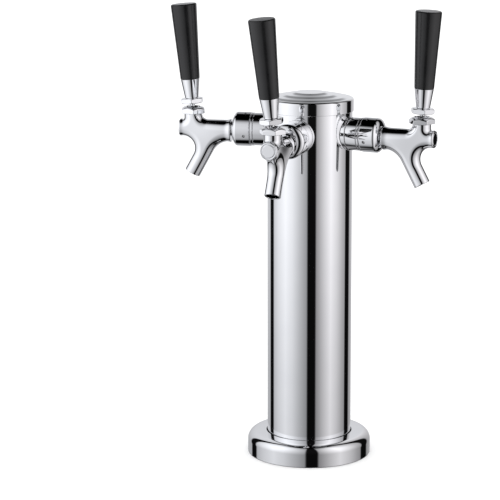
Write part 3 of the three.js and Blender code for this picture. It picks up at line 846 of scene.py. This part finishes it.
def light_tent():
    """A dome that only mirrors see: it lights nothing, and the camera looks through it."""
    material, tree, glow = emission_material("tent_light")
    where = tree.nodes.new("ShaderNodeTexCoord").outputs["Object"]
    unit = tree.nodes.new("ShaderNodeVectorMath")
    unit.operation = "NORMALIZE"
    tree.links.new(where, unit.inputs[0])
    parts = tree.nodes.new("ShaderNodeSeparateXYZ")
    tree.links.new(unit.outputs[0], parts.inputs[0])
    x, y, z = parts.outputs
    compass = math_node(tree, "ARCTAN2", x, math_node(tree, "MULTIPLY", y, -1.0))
    round_fac = math_node(tree, "MULTIPLY_ADD", compass, 1 / (2 * math.pi), 0.5)
    height_fac = math_node(tree, "MULTIPLY_ADD", math_node(tree, "ARCSINE", z), 1 / math.pi, 0.5)
    around = ramp(tree, round_fac, [((a + 180) / 360, tinted(a, v)) for a, v in ROUND_THE_TENT])
    upward = ramp(tree, height_fac, [((a + 90) / 180, (v, v, v)) for a, v in UP_THE_TENT])

    def flag(direction, half_angle, soft=2.5, dark=BLACK):
        """A round dark patch, as a factor on the light."""
        axis = Vector(direction).normalized()
        dot = tree.nodes.new("ShaderNodeVectorMath")
        dot.operation = "DOT_PRODUCT"
        tree.links.new(unit.outputs[0], dot.inputs[0])
        dot.inputs[1].default_value = axis
        edge = tree.nodes.new("ShaderNodeMapRange")
        edge.interpolation_type = "SMOOTHSTEP"
        edge.inputs["From Min"].default_value = math.cos(math.radians(half_angle + soft))
        edge.inputs["From Max"].default_value = math.cos(math.radians(half_angle - soft))
        edge.inputs["To Min"].default_value = 1.0
        edge.inputs["To Max"].default_value = dark
        tree.links.new(dot.outputs["Value"], edge.inputs["Value"])
        return edge.outputs["Result"]

    overhead, underfoot, behind = (-0.03, 0.1, 1), (0, 0, -1), (-0.165, 0.549, 0.819)
    level = math_node(tree, "MULTIPLY", flag(overhead, 26), flag(underfoot, 27))
    level = math_node(tree, "MULTIPLY", level, flag(behind, 20, 5, 0.47))
    strength = math_node(tree, "MULTIPLY", level, TENT_STRENGTH)
    mix = tree.nodes.new("ShaderNodeMix")
    mix.data_type = "RGBA"
    mix.blend_type = "MULTIPLY"
    mix.inputs["Factor"].default_value = 1.0
    tree.links.new(around, mix.inputs["A"])
    tree.links.new(upward, mix.inputs["B"])
    tree.links.new(mix.outputs["Result"], glow.inputs["Color"])
    tree.links.new(strength, glow.inputs["Strength"])
    material.cycles.emission_sampling = "NONE"

    outline = [(math.sin(a) * TENT_RADIUS, -math.cos(a) * TENT_RADIUS) for a in np.linspace(0, math.pi, 49)]
    vertices, faces = turned(outline, 96)
    mesh = bpy.data.meshes.new("light_tent")
    mesh.from_pydata(vertices.tolist(), [], faces)
    mesh.materials.append(material)
    tent = add_object("light_tent", mesh)
    tent.location = TENT_MIDDLE
    for ray in ("camera", "diffuse", "transmission", "volume_scatter", "shadow"):
        setattr(tent, f"visible_{ray}", False)


def pale_floor():
    material = bpy.data.materials.new("pale_floor")
    material.use_nodes = True
    shader = material.node_tree.nodes["Principled BSDF"]
    shader.inputs["Base Color"].default_value = (0.96, 0.96, 0.96, 1)
    shader.inputs["Roughness"].default_value = 1.0
    shader.inputs["Specular IOR Level"].default_value = 0.0
    mesh = bpy.data.meshes.new("floor")
    half = 30.0
    corners = [(-half, -half, 0), (half, -half, 0), (half, half, 0), (-half, half, 0)]
    mesh.from_pydata(corners, [], [(0, 1, 2, 3)])
    mesh.materials.append(material)
    floor = add_object("floor", mesh)
    floor.visible_glossy = False


def soft_daylight():
    world = bpy.data.worlds.new("soft_white")
    world.use_nodes = True
    world.node_tree.nodes["Background"].inputs["Color"].default_value = (1, 1, 1, 1)
    world.node_tree.nodes["Background"].inputs["Strength"].default_value = 1.35
    bpy.context.scene.world = world
    bpy.context.scene.view_settings.view_transform = "Standard"


def camera():
    """Seen from the front and a little to the right, about 12 degrees down."""
    turn, heading, pitch, roll = (math.radians(a) for a in (16.76, 18.347, 12.112, -0.148))
    distance, height = 1.9456, 0.606
    data = bpy.data.cameras.new("camera")
    data.sensor_width = 36.0
    data.lens = 158.28
    data.clip_start, data.clip_end = 0.05, 100.0
    view = add_object("camera", data)
    view.location = (distance * math.sin(turn), -distance * math.cos(turn) + COLUMN_AXIS_Y * MM, height)
    aim = Euler((math.pi / 2 - pitch, 0, heading), "XYZ").to_matrix()
    view.rotation_euler = (aim @ Matrix.Rotation(roll, 3, "Z")).to_euler()
    bpy.context.scene.camera = view


light_tent()
pale_floor()
soft_daylight()
camera()
